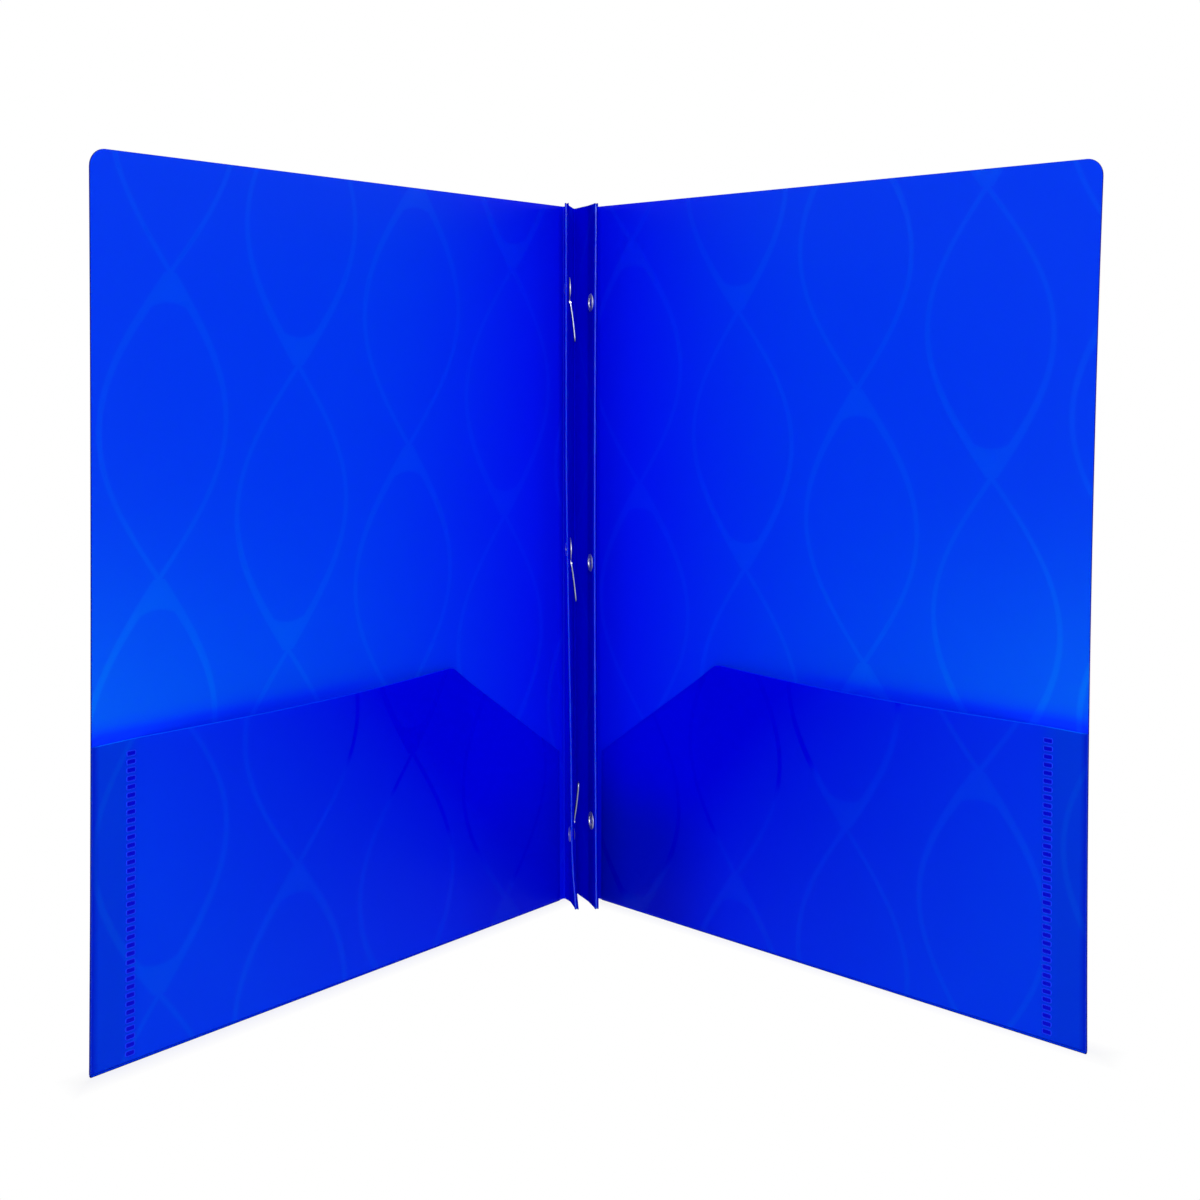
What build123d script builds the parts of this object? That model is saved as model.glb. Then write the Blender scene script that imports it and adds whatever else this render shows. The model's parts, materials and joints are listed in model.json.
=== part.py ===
from build123d import *
import math
import os

# Two pocket folder of one folded plastic sheet, standing open on its bottom edges
# Lengths in millimetres, angles in degrees, X to the right, Y to the back, Z up

# Sheet and covers
sheet = 0.55
cover_width = 241.3
cover_height = 292.1
cover_corner = 6.0
opening_angle = 79.0
crease_clearance = 0.05

# Spine of two fins that stand forward, with a valley between them
spine_width = 13.6
fin_reach = 17.0
fin_clamp = 12.0
fin_spacing = 10.2
fin_offset = 1.2
left_fin_lean = -6.0
right_fin_lean = -13.0
valley_depth = 9.0
valley_offset = -2.0
leaf_bend = 5.0

# Pockets
pocket_height = 106.0
pocket_peak = 73.0
pocket_peak_round = 4.0
pocket_spine_height = 61.0
pocket_start = 4.0
pocket_gap = 0.4
pocket_bow = 7.0
pocket_flange = 18.0
bow_place_shares = (0.0, 0.24, 0.52, 0.78, 1.0)
bow_height_shares = (0.0, 0.6, 1.0, 0.62, 0.1)
fold_height = 0.8
fold_round = 0.35

# Weld seam of each pocket
weld_inset = 15.0
weld_bar_length = 3.5
weld_bar_height = 1.3
weld_pitch = 2.7
weld_proud = 0.12

# Paper fasteners at the pitch of three-hole paper, a little below the cover's middle
hole_pitch = 107.95
hole_drop = 2.5
fastener_inset = 6.5
barrel_clearance = 0.05
flange_round_share = 0.45

rivet_barrel = 1.6
rivet_bore = 1.1
rivet_head = 3.1
rivet_rim = 2.6
rivet_flange = 0.5

eyelet_barrel = 2.4
eyelet_bore = 2.0
eyelet_flange = 3.7
eyelet_rim = 3.2
eyelet_thickness = 0.5

tang_base_radius = 4.9
tang_thickness = 0.4
prong_width = 3.6
prong_length = 16.5
prong_offset = 5.6
prong_lean = 7.0
prong_bead = 0.4
prong_rise = 0.5
prong_clearance = 0.05

# Places worked out from the sizes
half_opening = math.radians(opening_angle / 2)
middle_hole = cover_height / 2 - hole_drop
hole_heights = {
    "upper": middle_hole + hole_pitch,
    "middle": middle_hole,
    "lower": middle_hole - hole_pitch,
}
prong_directions = {"upper": -1, "middle": -1, "lower": 1}
left_crease = Vector(-spine_width / 2, 0)
right_crease = Vector(spine_width / 2, 0)
valley = Vector(valley_offset, valley_depth)
overrun = pocket_height


class Fin:
    """Plan of one fin: its tip, its direction to the back and the side to its right."""

    def __init__(self, tip_x, lean):
        angle = math.radians(lean)
        self.back = Vector(math.sin(angle), math.cos(angle))
        self.right = Vector(math.cos(angle), -math.sin(angle))
        self.tip = Vector(tip_x, -fin_reach)

    def at(self, depth, side=0.0):
        return self.tip + self.back * depth + self.right * side

    def frame(self, depth, height, normal_sign, up_sign=1):
        """Frame on the fin's middle plane with its Z along the face normal and its Y up or down."""
        place = self.at(depth)
        return Plane(
            origin=(place.X, place.Y, height),
            x_dir=self.back * normal_sign * up_sign,
            z_dir=self.right * normal_sign,
        )


left_fin = Fin(fin_offset - fin_spacing / 2, left_fin_lean)
right_fin = Fin(fin_offset + fin_spacing / 2, right_fin_lean)


def crease_rod(place, radius):
    """Upright rod on a crease, as tall as the cover."""
    rod = Cylinder(radius, cover_height, align=(Align.CENTER, Align.CENTER, Align.MIN))
    return Pos(place.X, place.Y, 0) * rod


def leaf(fin, face_side, crease, holes):
    """One panel of a fin, from its tip to a crease; face_side is the side of the fin that it lies on."""
    path = FilletPolyline(
        fin.at(sheet, face_side * sheet),
        fin.at(fin_clamp, face_side * sheet),
        crease,
        radius=leaf_bend,
    )
    inner_side = Side.LEFT if face_side > 0 else Side.RIGHT
    outline = make_face(offset(path, amount=sheet, side=inner_side, closed=True))
    panel = extrude(outline, amount=cover_height, dir=(0, 0, 1))
    for hole in holes:
        panel -= hole
    return panel


def fin_ridge(fin):
    """Half-round fold at the tip, where the sheet turns from one leaf into the other."""
    centre = fin.at(sheet)
    rod = crease_rod(centre, sheet)
    behind = fin.at(sheet + sheet / 2)
    turn = math.degrees(math.atan2(fin.back.Y, fin.back.X))
    keep_out = Box(sheet, sheet * 4, cover_height, align=(Align.CENTER, Align.CENTER, Align.MIN))
    return rod - Pos(behind.X, behind.Y, 0) * Rot(0, 0, turn) * keep_out


def spool(barrel, bore, low_radius, high_radius, thickness, grip_low, grip_high):
    """Tubular fastener: a barrel through the leaves with a rounded flange on each face."""
    low = Cylinder(low_radius, thickness, align=(Align.CENTER, Align.CENTER, Align.MAX))
    low = Pos(0, 0, grip_low) * low
    high = Cylinder(high_radius, thickness, align=(Align.CENTER, Align.CENTER, Align.MIN))
    high = Pos(0, 0, grip_high) * high
    rounding = thickness * flange_round_share
    low = fillet(low.edges().sort_by(Axis.Z)[0], rounding)
    high = fillet(high.edges().sort_by(Axis.Z)[-1], rounding)
    tube = Pos(0, 0, grip_low) * Cylinder(
        barrel, grip_high - grip_low, align=(Align.CENTER, Align.CENTER, Align.MIN)
    )
    return low + tube + high - Cylinder(bore, overrun)


def barrel_hole(frame, barrel):
    """Hole through both leaves for a fastener's barrel."""
    return frame * Cylinder(barrel + barrel_clearance, overrun)


def tang_frame(place):
    """Frame of a tang on the left fin: Y points along the prong, Z away from the fin."""
    way = prong_directions[place]
    height = hole_heights[place] - way * prong_offset
    return left_fin.frame(fastener_inset, height, 1, way)


def tang_rivet():
    return spool(
        rivet_barrel, rivet_bore, rivet_head, rivet_rim, rivet_flange, -sheet, sheet + tang_thickness
    )


def tang_base():
    """Round plate under the rivet, with a neck out to the bend line of the prong."""
    on_face = (Align.CENTER, Align.CENTER, Align.MIN)
    disc = Cylinder(tang_base_radius, tang_thickness, align=on_face)
    neck = Box(prong_width, prong_offset, tang_thickness, align=(Align.CENTER, Align.MIN, Align.MIN))
    plate = disc + neck - Cylinder(rivet_barrel + barrel_clearance, overrun)
    bead = Pos(0, prong_offset, prong_rise) * Rot(0, 90, 0) * Cylinder(prong_bead, prong_width)
    return Pos(0, 0, sheet) * (plate + bead)


def tang_prong():
    """Flat prong that bends at its root, sprung a little off the fin."""
    blade = Rectangle(prong_width, prong_length, align=(Align.CENTER, Align.MIN))
    tip_corners = blade.vertices().group_by(Axis.Y)[-1]
    blade = fillet(tip_corners, prong_width / 2 - prong_clearance)
    strip = extrude(blade, amount=tang_thickness / 2, both=True)
    strip -= Rot(0, 90, 0) * Cylinder(prong_bead + prong_clearance, prong_width * 2)
    return Pos(0, prong_offset, sheet + prong_rise) * Rot(prong_lean, 0, 0) * strip


def eyelet():
    return spool(eyelet_barrel, eyelet_bore, eyelet_rim, eyelet_flange, eyelet_thickness, -sheet, sheet)


# Frame of the right cover: X from the crease to the outer edge, Y up, Z to the inside
panel_frame = Plane(
    origin=(right_crease.X, right_crease.Y, 0),
    x_dir=(math.sin(half_opening), -math.cos(half_opening), 0),
    z_dir=(-math.cos(half_opening), -math.sin(half_opening), 0),
)


def fold_block():
    """Square block of the bottom fold, from the cover's outer face to the pocket's inner face."""
    depth = sheet + pocket_gap + sheet
    block = Box(
        cover_width - pocket_start, fold_height, depth, align=(Align.MIN, Align.MIN, Align.MIN)
    )
    return Pos(pocket_start, 0, -sheet) * block


def cover():
    plate = Rectangle(cover_width, cover_height, align=(Align.MIN, Align.MIN))
    top_outer = plate.vertices().group_by(Axis.X)[-1].sort_by(Axis.Y)[-1]
    plate = extrude(fillet(top_outer, cover_corner), amount=-sheet)
    return panel_frame * (plate - fold_block()) + crease_rod(right_crease, sheet)


def pocket_fold():
    block = fold_block()
    low_edges = block.edges().filter_by(Axis.X).group_by(Axis.Y)[0]
    return panel_frame * fillet(low_edges, fold_round)


def weld_bars():
    """Bars of the weld, each as deep as the pocket sheet and a little proud of it."""
    first = fold_height + weld_pitch
    count = int((pocket_height - first) / weld_pitch)
    bar = Box(
        weld_bar_length,
        weld_bar_height,
        sheet + weld_proud,
        align=(Align.CENTER, Align.CENTER, Align.MIN),
    )
    places = [Pos(cover_width - weld_inset, first + row * weld_pitch, 0) for row in range(count)]
    return [place * bar for place in places]


def pocket():
    """Panel that is flat along the weld and bows away from the cover towards its mouth."""
    bow_width = cover_width - pocket_flange - pocket_start
    bow_points = []
    for place, height in zip(bow_place_shares, bow_height_shares):
        across = cover_width - pocket_flange - place * bow_width
        bow_points.append((across, pocket_height, pocket_bow * height))
    mouth = Spline(*bow_points)
    foot = Line(
        (cover_width - pocket_flange, fold_height, 0), (pocket_start, fold_height, pocket_gap)
    )
    bowed = Solid.extrude(Face.make_surface_from_curves(foot.edge(), mouth.edge()), (0, 0, sheet))
    flange = Box(
        pocket_flange, pocket_height - fold_height, sheet, align=(Align.MAX, Align.MIN, Align.MIN)
    )
    panel = Part() + bowed + Pos(cover_width, fold_height, 0) * flange
    outline = make_face(
        Polyline(
            (0, 0),
            (cover_width, 0),
            (cover_width, pocket_height),
            (pocket_peak, pocket_height),
            (0, pocket_spine_height),
            close=True,
        )
    )
    peak = outline.vertices().sort_by_distance((pocket_peak, pocket_height, 0))[0]
    panel &= extrude(fillet(peak, pocket_peak_round), amount=overrun, both=True)
    for bar in weld_bars():
        panel -= bar
    return panel_frame * panel


def pocket_weld():
    return Compound([panel_frame * bar for bar in weld_bars()])


# Right side and its mirror image on the left
sides = {
    "cover": cover(),
    "pocket": pocket(),
    "pocket_fold": pocket_fold(),
    "pocket_weld": pocket_weld(),
}
parts = {}
for name, shape in sides.items():
    parts["right_" + name] = shape
    parts["left_" + name] = mirror(shape, about=Plane.YZ)

# Fasteners of both fins and the holes that they pass through
rivet_holes = []
eyelet_holes = []
for place, height in hole_heights.items():
    frame = tang_frame(place)
    parts[place + "_tang_rivet"] = frame * tang_rivet()
    parts[place + "_tang_base"] = frame * tang_base()
    parts[place + "_tang_prong"] = frame * tang_prong()
    rivet_holes.append(barrel_hole(frame, rivet_barrel))
    eyelet_frame = right_fin.frame(fastener_inset, height, -1)
    parts[place + "_eyelet"] = eyelet_frame * eyelet()
    eyelet_holes.append(barrel_hole(eyelet_frame, eyelet_barrel))

# Leaves of the fins: the outer ones carry the ridge, the left inner one the valley crease
socket = sheet + crease_clearance
left_outer = leaf(left_fin, -1, left_crease, rivet_holes) + fin_ridge(left_fin)
left_inner = leaf(left_fin, 1, valley, rivet_holes)
right_inner = leaf(right_fin, -1, valley, eyelet_holes)
right_outer = leaf(right_fin, 1, right_crease, eyelet_holes) + fin_ridge(right_fin)
parts["left_fin_outer_leaf"] = left_outer - crease_rod(left_crease, socket)
parts["left_fin_inner_leaf"] = left_inner + crease_rod(valley, sheet)
parts["right_fin_inner_leaf"] = right_inner - crease_rod(valley, socket)
parts["right_fin_outer_leaf"] = right_outer - crease_rod(right_crease, socket)

# Origin on the floor, in the middle of the folder's box
box = Compound(list(parts.values())).bounding_box()
to_origin = Pos(-box.center().X, -box.center().Y, -box.min.Z)
os.makedirs("parts", exist_ok=True)
for name, shape in parts.items():
    export_step(to_origin * shape, "parts/" + name + ".step")

# Places of the hinge lines in the part's own frame
for name, place in (("left_crease", left_crease), ("right_crease", right_crease), ("valley", valley)):
    print(name, (to_origin * Pos(place.X, place.Y, 0)).position)
for place in hole_heights:
    line = tang_frame(place).location * Pos(0, prong_offset, sheet + prong_rise)
    print(place + "_prong", (to_origin * line).position)
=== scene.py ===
import json
import math
import bmesh
import bpy
from mathutils import Matrix, Vector


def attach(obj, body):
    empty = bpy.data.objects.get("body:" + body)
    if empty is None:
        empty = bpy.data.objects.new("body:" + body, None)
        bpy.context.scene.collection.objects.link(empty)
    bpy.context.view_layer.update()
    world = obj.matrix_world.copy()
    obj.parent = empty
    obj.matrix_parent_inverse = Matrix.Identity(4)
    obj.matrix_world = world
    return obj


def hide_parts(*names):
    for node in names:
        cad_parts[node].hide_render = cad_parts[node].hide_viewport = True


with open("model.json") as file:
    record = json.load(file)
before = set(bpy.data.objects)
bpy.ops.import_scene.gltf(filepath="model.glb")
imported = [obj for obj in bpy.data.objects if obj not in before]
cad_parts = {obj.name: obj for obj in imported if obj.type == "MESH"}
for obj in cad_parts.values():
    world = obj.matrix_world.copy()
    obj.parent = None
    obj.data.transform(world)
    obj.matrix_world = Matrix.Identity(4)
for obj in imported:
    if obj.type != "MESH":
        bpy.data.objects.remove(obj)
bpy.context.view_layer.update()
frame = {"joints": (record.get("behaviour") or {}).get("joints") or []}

# Covers
# Two large panels of one die-cut sheet of blue polypropylene, half a millimetre thick, with a satin face that
# carries a faint, slightly glossier lattice of pointed ovals. Each one ends at the spine in a pressed bead.
# The blue is painted deeper near the spine as shade, and lighter above each pocket's mouth as a painted glow.
mm = 0.001
sheet = 0.55 * mm
edge_round = 0.2 * mm
cover_width = 241.3 * mm
cover_height = 292.1 * mm
cover_corner = 6.0 * mm
pocket_height = 106.0 * mm
pocket_peak = 73.0 * mm
pocket_start = 4.0 * mm
fold_height = 0.8 * mm
half_opening = math.radians(39.5)
smooth_limit = math.radians(35.0)
bevel_limit = math.radians(50.0)
edge_steps = 2
bead_steps = 20
side_signs = {"left": -1, "right": 1}
joint_places = {joint["name"]: Vector(joint["pos_m"]) for joint in frame["joints"]}
crease_x = joint_places["right_cover_fold"].x
crease_y = joint_places["right_cover_fold"].y

# How far the outer edge leans in from the flat panel: at its foot, at the pocket's mouth and at its top
edge_leans = {"left": (-1.9 * mm, 0.2 * mm, 1.8 * mm), "right": (3.1 * mm, 3.3 * mm, -3.3 * mm)}

# Shift of each cover on the flat sheet, which sets where the lattice falls, and the lean of its chains
cover_shifts = {"left": (8.4 * mm, -35.7 * mm), "right": (3.4 * mm, -77.2 * mm)}
chain_lean = 0.05
chain_level = 2 * cover_height / 3


def outer_lean(side, up):
    """Lean of a cover's outer edge at a height, on a parabola through its three known leans."""
    foot, mouth, top = edge_leans[side]
    share = up / cover_height
    middle = pocket_height / cover_height
    return (
        foot * (share - middle) * (share - 1) / middle
        + mouth * share * (share - 1) / (middle * (middle - 1))
        + top * share * (share - middle) / (1 - middle)
    )


def panel_point(side, along, up, out):
    """Place on a cover: along it from the crease, up from the floor and out of its inner face."""
    off = out + outer_lean(side, up) * along / cover_width
    reach = along * math.sin(half_opening) - off * math.cos(half_opening)
    depth = along * math.cos(half_opening) + off * math.sin(half_opening)
    return Vector((side_signs[side] * (crease_x + reach), crease_y - depth, up))


def cover_flat(side, along, up):
    """Place of a point of a cover on the flat sheet, for the lattice."""
    shift_along, shift_up = cover_shifts[side]
    leaned = along + chain_lean * (up - chain_level)
    return side_signs[side] * leaned + shift_along, up + shift_up


def settle(obj):
    """Turns a piece's modifiers into a plain mesh and shades it smooth up to its real edges."""
    graph = bpy.context.evaluated_depsgraph_get()
    shaped = obj.evaluated_get(graph)
    mesh = bpy.data.meshes.new_from_object(shaped, preserve_all_data_layers=True, depsgraph=graph)
    obj.modifiers.clear()
    obj.data = mesh
    shape = bmesh.new()
    shape.from_mesh(mesh)
    for face in shape.faces:
        face.smooth = True
    for edge in shape.edges:
        edge.smooth = edge.calc_face_angle(0.0) < smooth_limit
    shape.to_mesh(mesh)
    shape.free()
    return obj


def new_object(name, points, faces):
    """Object of the scene with a mesh of points and faces."""
    mesh = bpy.data.meshes.new(name)
    mesh.from_pydata(points, [], faces)
    obj = bpy.data.objects.new(name, mesh)
    bpy.context.scene.collection.objects.link(obj)
    return obj


def sheet_piece(name, columns, maps, thickness, finishes, flip=False):
    """Thin plate with rounded edges from columns of points on its face; the plate lies behind that face.

    Each map holds two values for each point. Of several finishes, the second is for the cut edges and the
    third for the back.
    """
    rows = len(columns[0])
    faces = []
    for column in range(len(columns) - 1):
        for row in range(rows - 1):
            corner = column * rows + row
            face = [corner, corner + rows, corner + rows + 1, corner + 1]
            faces.append(face[::-1] if flip else face)
    obj = new_object(name, [point for column in columns for point in column], faces)
    for label, map_columns in maps.items():
        values = [value for column in map_columns for value in column]
        layer = obj.data.uv_layers.new(name=label)
        for loop in obj.data.loops:
            layer.data[loop.index].uv = values[loop.vertex_index]
    for finish in finishes:
        obj.data.materials.append(finish)
    plate = obj.modifiers.new("thickness", "SOLIDIFY")
    plate.thickness = thickness
    plate.offset = -1
    plate.use_even_offset = True
    cut_slot = min(1, len(finishes) - 1)
    plate.material_offset = 2 if len(finishes) > 2 else 0
    plate.material_offset_rim = cut_slot
    rounding = obj.modifiers.new("rounded edges", "BEVEL")
    rounding.width = edge_round
    rounding.segments = edge_steps
    rounding.material = cut_slot
    rounding.limit_method = "ANGLE"
    rounding.angle_limit = bevel_limit
    return settle(obj)


def add_bead(obj, place, radius, height):
    """Joins an upright round bead to a piece, on a crease."""
    shape = bmesh.new()
    shape.from_mesh(obj.data)
    middle = Matrix.Translation((place.x, place.y, height / 2))
    bmesh.ops.create_cone(
        shape, cap_ends=True, segments=bead_steps, radius1=radius, radius2=radius, depth=height, matrix=middle
    )
    shape.to_mesh(obj.data)
    shape.free()
    return settle(obj)


def set_inputs(tree, node, values):
    """Gives the inputs of a node a value or a link each, in turn or by name."""
    for key, value in values.items() if isinstance(values, dict) else enumerate(values):
        if isinstance(value, bpy.types.NodeSocket):
            tree.links.new(value, node.inputs[key])
        else:
            node.inputs[key].default_value = value


def add_node(tree, kind, values, **settings):
    """Outputs of a new node of a tree, with the given inputs and settings."""
    node = tree.nodes.new(kind)
    for key, value in settings.items():
        setattr(node, key, value)
    set_inputs(tree, node, values)
    return node.outputs


def calc(tree, operation, *values):
    """Result of one step of arithmetic in a tree."""
    return add_node(tree, "ShaderNodeMath", values, operation=operation)[0]


def numbers(*labels):
    """Sockets of a node group that take or give a number."""
    return [(label, "NodeSocketFloat") for label in labels]


def new_group(name, kind, inputs, outputs):
    """Empty node group with named sockets: the tree, its inputs and its outputs."""
    tree = bpy.data.node_groups.new(name, kind)
    for label, socket in inputs:
        tree.interface.new_socket(label, in_out="INPUT", socket_type=socket)
    for label, socket in outputs:
        tree.interface.new_socket(label, in_out="OUTPUT", socket_type=socket)
    return tree, tree.nodes.new("NodeGroupInput").outputs, tree.nodes.new("NodeGroupOutput").inputs


def oval_lattice():
    """Mask of a lattice of pointed ovals: columns of chained ovals, each column a little lower than the last.

    A round fills one end of each oval with a web, at the foot in odd columns and at the top in even ones.
    """
    tree, given, made = new_group(
        "oval_lattice",
        "ShaderNodeTree",
        [("Place", "NodeSocketVector")] + numbers(*lattice_sizes),
        numbers("Mask"),
    )
    place = add_node(tree, "ShaderNodeSeparateXYZ", [given["Place"]])
    across = calc(tree, "DIVIDE", place[0], given["Pitch"])
    column = calc(tree, "FLOOR", across)
    odd = calc(tree, "FLOORED_MODULO", column, 2.0)
    middle = calc(tree, "SUBTRACT", calc(tree, "SUBTRACT", across, column), 0.5)
    off = calc(tree, "ABSOLUTE", calc(tree, "MULTIPLY", middle, given["Pitch"]))
    lowered = calc(tree, "MULTIPLY_ADD", column, given["Drop"], place[1])
    part = calc(tree, "FRACT", calc(tree, "DIVIDE", lowered, given["Height"]))
    turn = calc(tree, "MULTIPLY", odd, calc(tree, "MULTIPLY_ADD", part, 2.0, -1.0))
    from_web = calc(tree, "ADD", calc(tree, "SUBTRACT", 1.0, part), turn)
    angle = calc(tree, "MULTIPLY", from_web, math.pi)
    half_width = calc(tree, "MULTIPLY", given["Width"], 0.5)
    edge = calc(tree, "MULTIPLY", half_width, calc(tree, "SINE", angle))
    spread = calc(tree, "DIVIDE", calc(tree, "MULTIPLY", half_width, math.pi), given["Height"])
    slope = calc(tree, "MULTIPLY", spread, calc(tree, "COSINE", angle))
    level = calc(tree, "INVERSE_SQRT", calc(tree, "MULTIPLY_ADD", slope, slope, 1.0))
    gap = calc(tree, "MULTIPLY", calc(tree, "ABSOLUTE", calc(tree, "SUBTRACT", off, edge)), level)
    near_web = calc(tree, "POWER", calc(tree, "SUBTRACT", 1.0, from_web), 3.0)
    line = calc(tree, "MULTIPLY_ADD", near_web, given["Web line"], given["Line"])
    line_room = calc(tree, "SUBTRACT", calc(tree, "MULTIPLY", line, 0.5), gap)
    rise = calc(tree, "MULTIPLY", from_web, given["Height"])
    lean = calc(tree, "ARCTANGENT", spread)
    lean_sine = calc(tree, "SINE", lean)
    centre = calc(tree, "DIVIDE", given["Web round"], lean_sine)
    touch = calc(tree, "SUBTRACT", centre, calc(tree, "MULTIPLY", given["Web round"], lean_sine))
    above = calc(tree, "SUBTRACT", rise, centre)
    reach = calc(tree, "SQRT", calc(tree, "MULTIPLY_ADD", off, off, calc(tree, "MULTIPLY", above, above)))
    web_room = calc(tree, "MINIMUM", calc(tree, "SUBTRACT", edge, off), calc(tree, "SUBTRACT", touch, rise))
    web_room = calc(tree, "MINIMUM", web_room, calc(tree, "SUBTRACT", reach, given["Web round"]))
    room = calc(tree, "MAXIMUM", line_room, web_room)
    mask = calc(tree, "ADD", calc(tree, "DIVIDE", room, given["Soft edge"]), 0.5)
    limits = add_node(tree, "ShaderNodeClamp", [mask, 0.0, 1.0])
    tree.links.new(limits[0], made["Mask"])
    return tree


def noise(tree, place, scale, detail):
    """Value of a soft random pattern."""
    return add_node(tree, "ShaderNodeTexNoise", {"Vector": place, "Scale": scale, "Detail": detail})[0]


def sheet_grain():
    """Fine pressed grain of the sheet and the slow unevenness of its gloss."""
    tree, given, made = new_group(
        "sheet_grain",
        "ShaderNodeTree",
        [("Place", "NodeSocketVector")] + numbers("Grain scale", "Cloud scale"),
        numbers("Grain", "Cloud"),
    )
    tree.links.new(noise(tree, given["Place"], given["Grain scale"], grain_detail), made["Grain"])
    tree.links.new(noise(tree, given["Place"], given["Cloud scale"], cloud_detail), made["Cloud"])
    return tree


lattice_sizes = {
    "Pitch": 58.4 * mm,
    "Drop": 29.9 * mm,
    "Height": 99.5 * mm,
    "Width": 52.0 * mm,
    "Line": 1.8 * mm,
    "Web line": 2.0 * mm,
    "Web round": 17.0 * mm,
    "Soft edge": 0.9 * mm,
}
grain_scale = 1500.0
grain_detail = 3.0
grain_strength = 0.35
grain_depth = 0.02 * mm
cloud_scale = 22.0
cloud_detail = 2.0
lattice_group = oval_lattice()
grain_group = sheet_grain()

# The lines are lighter than their ground, but darker, as a painted reflection, where a flap mirrors the dark
# behind the other one
line_tint = (1.0, 1.34, 1.02)
line_lift = (0.0, 0.003, 0.0)
reflection_tint = (1.0, 0.1, 0.97)
line_gloss = 0.08
gloss_spread = 0.1
sheet_gloss = 0.05
sheet_scatter = (0.35, 0.8 * mm)
scatter_colours = (0.02, 0.3, 1.0)
sheet_index = 1.49
coat_roughness = 0.2


def new_material(name):
    """Material with its tree, its shader and the place on the object."""
    material = bpy.data.materials.new(name)
    material.use_nodes = True
    tree = material.node_tree
    place = add_node(tree, "ShaderNodeTexCoord", [])["Object"]
    return material, tree, tree.nodes["Principled BSDF"], place


def add_relief(tree, shader, height, strength, depth):
    """Gives a shader a fine relief."""
    bump = add_node(tree, "ShaderNodeBump", {"Strength": strength, "Distance": depth, "Height": height})[0]
    set_inputs(tree, shader, {"Normal": bump})


def spread_round(tree, value, spread, middle):
    """Value from 0 to 1 turned into one that spreads round a middle."""
    return calc(tree, "MULTIPLY_ADD", value, spread, middle - spread / 2)


def new_finish(name, roughness, gloss):
    """Polypropylene with a fine grain: the material, its tree, its shader and its uneven roughness."""
    material, tree, shader, place = new_material(name)
    scales = {"Place": place, "Grain scale": grain_scale, "Cloud scale": cloud_scale}
    grain = add_node(tree, "ShaderNodeGroup", scales, node_tree=grain_group)
    add_relief(tree, shader, grain["Grain"], grain_strength, grain_depth)
    inputs = {"IOR": sheet_index, "Specular IOR Level": gloss, "Subsurface Radius": scatter_colours}
    set_inputs(tree, shader, inputs)
    return material, tree, shader, spread_round(tree, grain["Cloud"], gloss_spread, roughness)


def cut_finish(name, colour, roughness):
    """Cut or melted polypropylene, all of one blue."""
    material, tree, shader, rough = new_finish(name, roughness, sheet_gloss)
    set_inputs(tree, shader, {"Base Color": (*colour, 1.0), "Roughness": rough})
    return material


def mix_colour(tree, share, first, second, blend="MIX"):
    """Colour between two, or the first one changed by the second."""
    inputs = {0: share, 6: first, 7: second}
    return add_node(tree, "ShaderNodeMix", inputs, data_type="RGBA", blend_type=blend)[2]


def map_values(tree, name):
    """The two values of a map."""
    return add_node(tree, "ShaderNodeSeparateXYZ", [add_node(tree, "ShaderNodeUVMap", [], uv_map=name)[0]])


def lattice_colour(tree, ground, lattice, reflected_lines):
    """Colour of the sheet with the lines of its lattice, light, or dark as a painted reflection."""
    tint = mix_colour(tree, reflected_lines, (*line_tint, 1.0), (*reflection_tint, 1.0))
    tinted = mix_colour(tree, lattice, ground, tint, "MULTIPLY")
    light_share = calc(tree, "SUBTRACT", lattice, calc(tree, "MULTIPLY", lattice, reflected_lines))
    return mix_colour(tree, light_share, tinted, (*line_lift, 1.0), "ADD")


def sheet_finish(name, blues, roughness, gloss=sheet_gloss, scatter=sheet_scatter, coat=0.0, lined=True):
    """Satin polypropylene with its lattice; scatter is the share of light that goes in and how deep.

    The tone map sets how far the blue is from the first to the second, and from there to the third; a coat
    follows the latter. The edge map sets how far it is to the fourth, and where the lines are dark.
    """
    material, tree, shader, rough = new_finish(name, roughness, gloss)
    deep, plain, bright, shaded = ((*blue, 1.0) for blue in blues)
    tone = map_values(tree, "tone")
    edge = map_values(tree, "edge")
    colour = mix_colour(tree, tone[0], deep, plain)
    colour = mix_colour(tree, tone[1], colour, bright)
    colour = mix_colour(tree, edge[0], colour, shaded)
    if lined:
        flat_place = add_node(tree, "ShaderNodeUVMap", [], uv_map="sheet")[0]
        sizes = {"Place": flat_place, **lattice_sizes}
        lattice = add_node(tree, "ShaderNodeGroup", sizes, node_tree=lattice_group)["Mask"]
        colour = lattice_colour(tree, colour, lattice, edge[1])
        rough = calc(tree, "MULTIPLY_ADD", lattice, -line_gloss, rough)
    scatter_share, scatter_depth = scatter
    set_inputs(tree, shader, {"Base Color": colour, "Roughness": rough})
    set_inputs(tree, shader, {"Subsurface Weight": scatter_share, "Subsurface Scale": scatter_depth})
    if coat:
        coat_weight = calc(tree, "MULTIPLY", tone[1], coat)
        set_inputs(tree, shader, {"Coat Weight": coat_weight, "Coat Roughness": coat_roughness})
    return material


def cover_top(along):
    """Height of the cover's top edge, which ends in a rounded corner."""
    past = along - (cover_width - cover_corner)
    if past <= 0:
        return cover_height
    return cover_height - cover_corner + math.sqrt(max(cover_corner**2 - past**2, 0.0))


def cover_alongs():
    """Places of the columns of a cover's mesh, close together at the step of the fold and in the corner."""
    straight = cover_width - cover_corner
    steps = 46
    corner_steps = 10
    fold_step = sheet / 10
    places = [0.0, pocket_start, pocket_start + fold_step]
    places += [pocket_start + (straight - pocket_start) * step / steps for step in range(1, steps + 1)]
    turns = [math.pi / 2 * step / corner_steps for step in range(1, corner_steps + 1)]
    return places + [straight + cover_corner * math.sin(turn) for turn in turns]


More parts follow.
